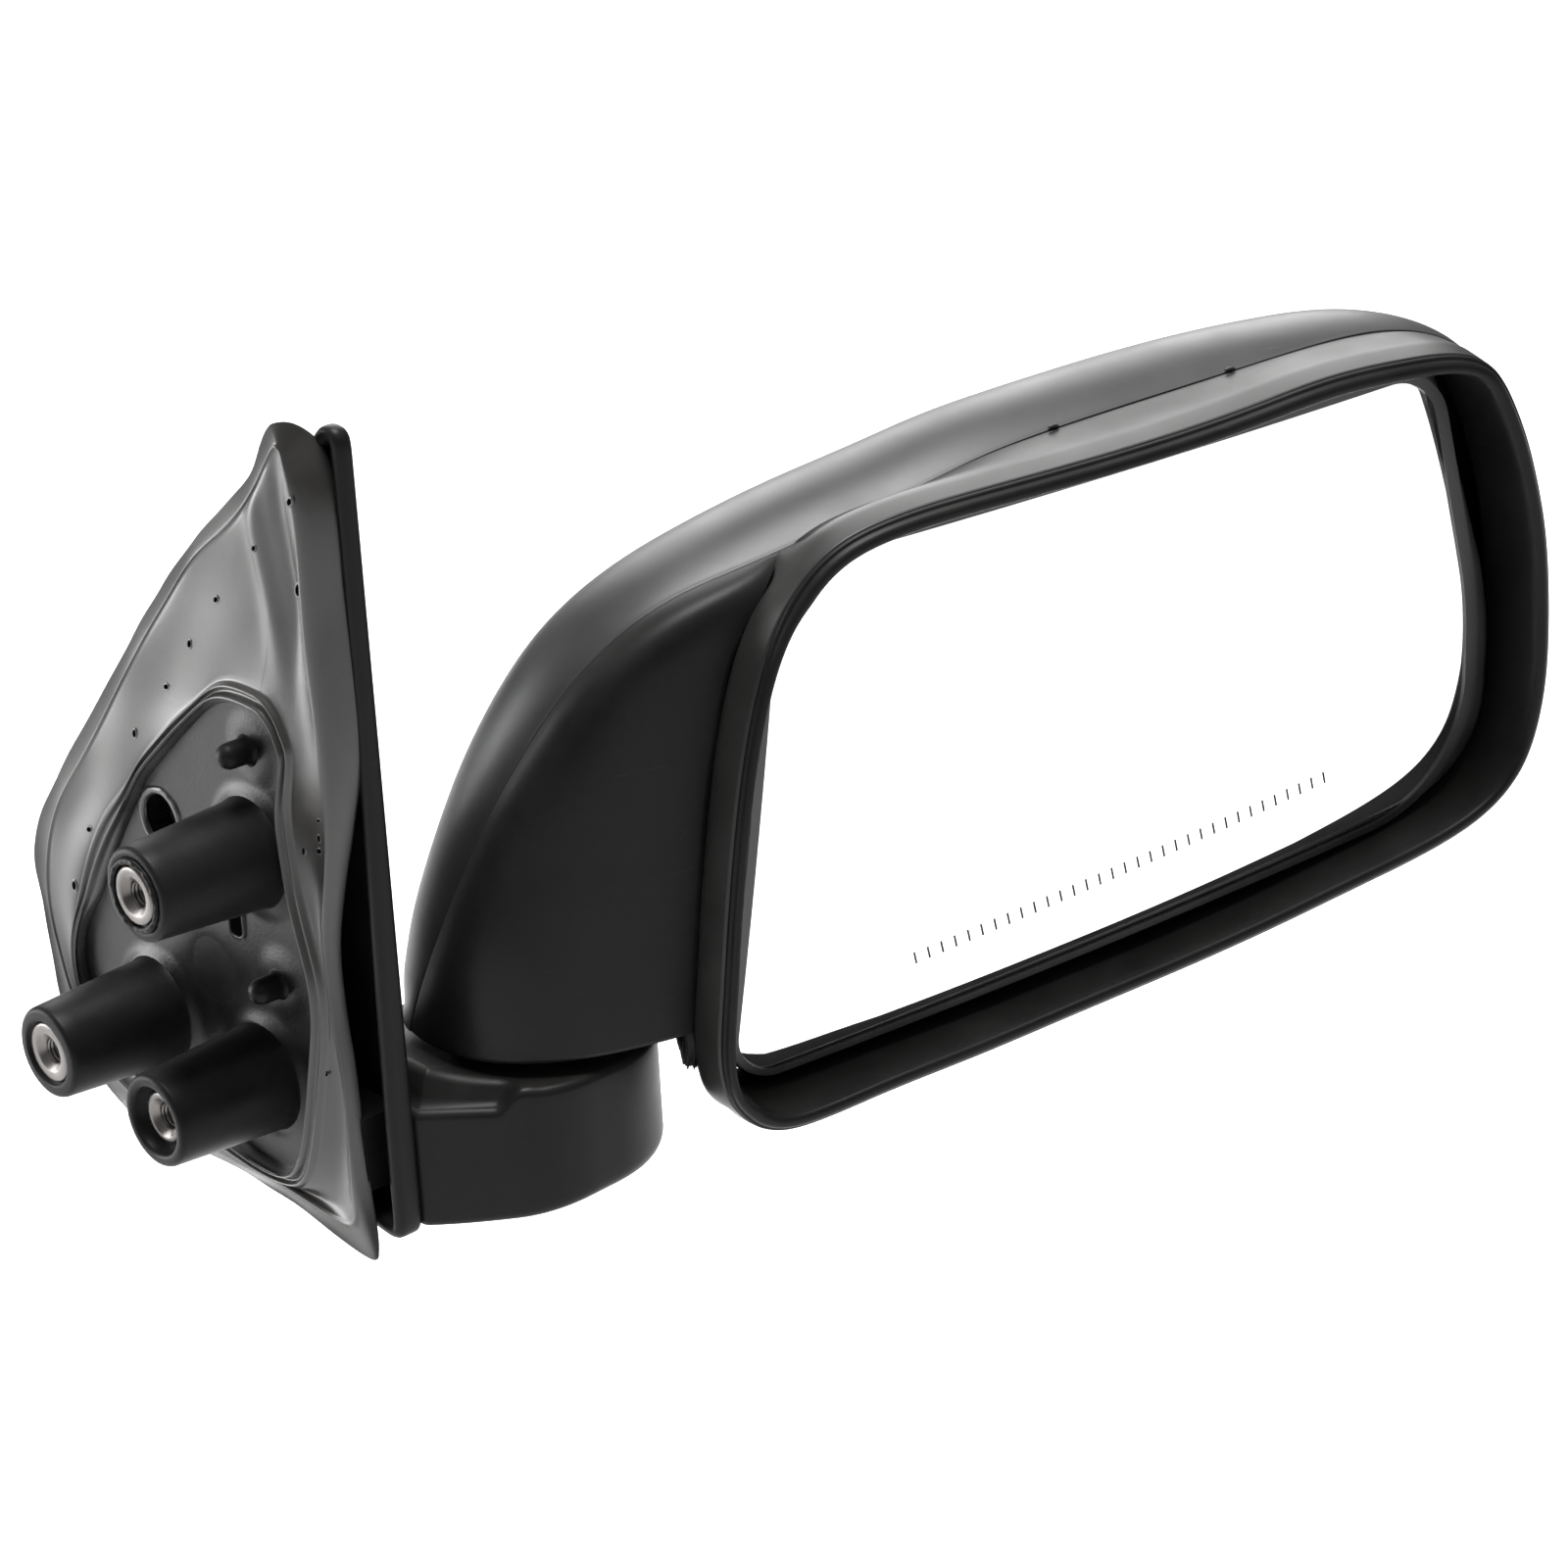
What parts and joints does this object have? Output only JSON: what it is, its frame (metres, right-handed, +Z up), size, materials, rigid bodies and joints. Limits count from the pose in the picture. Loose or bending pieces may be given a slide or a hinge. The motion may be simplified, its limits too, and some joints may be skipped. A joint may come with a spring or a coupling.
{
  "type": "car side mirror",
  "caption": "Right-hand door mirror for a car: triangular foot with three threaded bosses and rubber gasket, folding head, convex glass aimed by hand.",
  "frame": {"origin": "mouth of the upper fixing thread, on the plane of the three boss ends that meet the door", "axes": "+X outboard, away from the door; +Y towards the front of the car; +Z up along the fold axis"},
  "size_m": [0.3287, 0.2332, 0.1954],
  "materials": {
    "black_casting": "black powder coat on die-cast zinc",
    "zinc_steel": "bright zinc-plated steel",
    "spring_steel": "dark oiled spring steel",
    "black_plastic": "fine-textured black moulded plastic",
    "satin_shell": "satin black shell, ready for paint",
    "black_rubber": "dark soft rubber sheet",
    "cast_frame": "as-cast light alloy",
    "natural_plastic": "natural acetal",
    "foam_pad": "double-sided foam tape",
    "mirror": "convex silvered glass"
  },
  "bodies": {
    "base": {"base_casting": "black_casting", "boss_upper": "black_casting", "boss_front": "black_casting", "boss_rear": "black_casting", "insert_upper": "zinc_steel", "insert_front": "zinc_steel", "insert_rear": "zinc_steel", "locating_pins": "black_casting", "sail_cover": "black_plastic", "door_gasket": "black_rubber", "foot_cover": "black_plastic", "foot_cap": "black_plastic", "foot_screws": "zinc_steel", "cover_clips": "black_plastic", "pivot_shaft": "zinc_steel", "lower_detent": "zinc_steel", "spring_washer": "zinc_steel", "shaft_nut": "zinc_steel"},
    "head": {"upper_detent": "zinc_steel", "detent_balls": "zinc_steel", "fold_spring": "spring_steel", "outer_shell": "satin_shell", "inner_housing": "black_plastic", "head_frame": "cast_frame", "frame_screws": "zinc_steel", "ball_stud": "zinc_steel", "gimbal_bracket": "natural_plastic"},
    "gimbal": {"gimbal_ring": "natural_plastic"},
    "glass": {"socket_cup": "natural_plastic", "cup_spring": "spring_steel", "glass_holder": "black_plastic", "adhesive_pad": "foam_pad", "mirror_glass": "mirror"}
  },
  "joints": [
    {"name": "fold", "type": "hinge", "parent": "base", "child": "head", "pos_m": [0.082, -0.029, 0], "axis": [0, 0, 1], "range_deg": [-62, 55]},
    {"name": "glass_yaw", "type": "hinge", "parent": "head", "child": "gimbal", "pos_m": [0.21504, -0.08249, 0.0065], "axis": [0, 0, 1], "range_deg": [-7, 7]},
    {"name": "glass_pitch", "type": "hinge", "parent": "gimbal", "child": "glass", "pos_m": [0.21504, -0.08249, 0.0065], "axis": [0.9511, -0.309, 0], "range_deg": [-7, 7]}
  ]
}
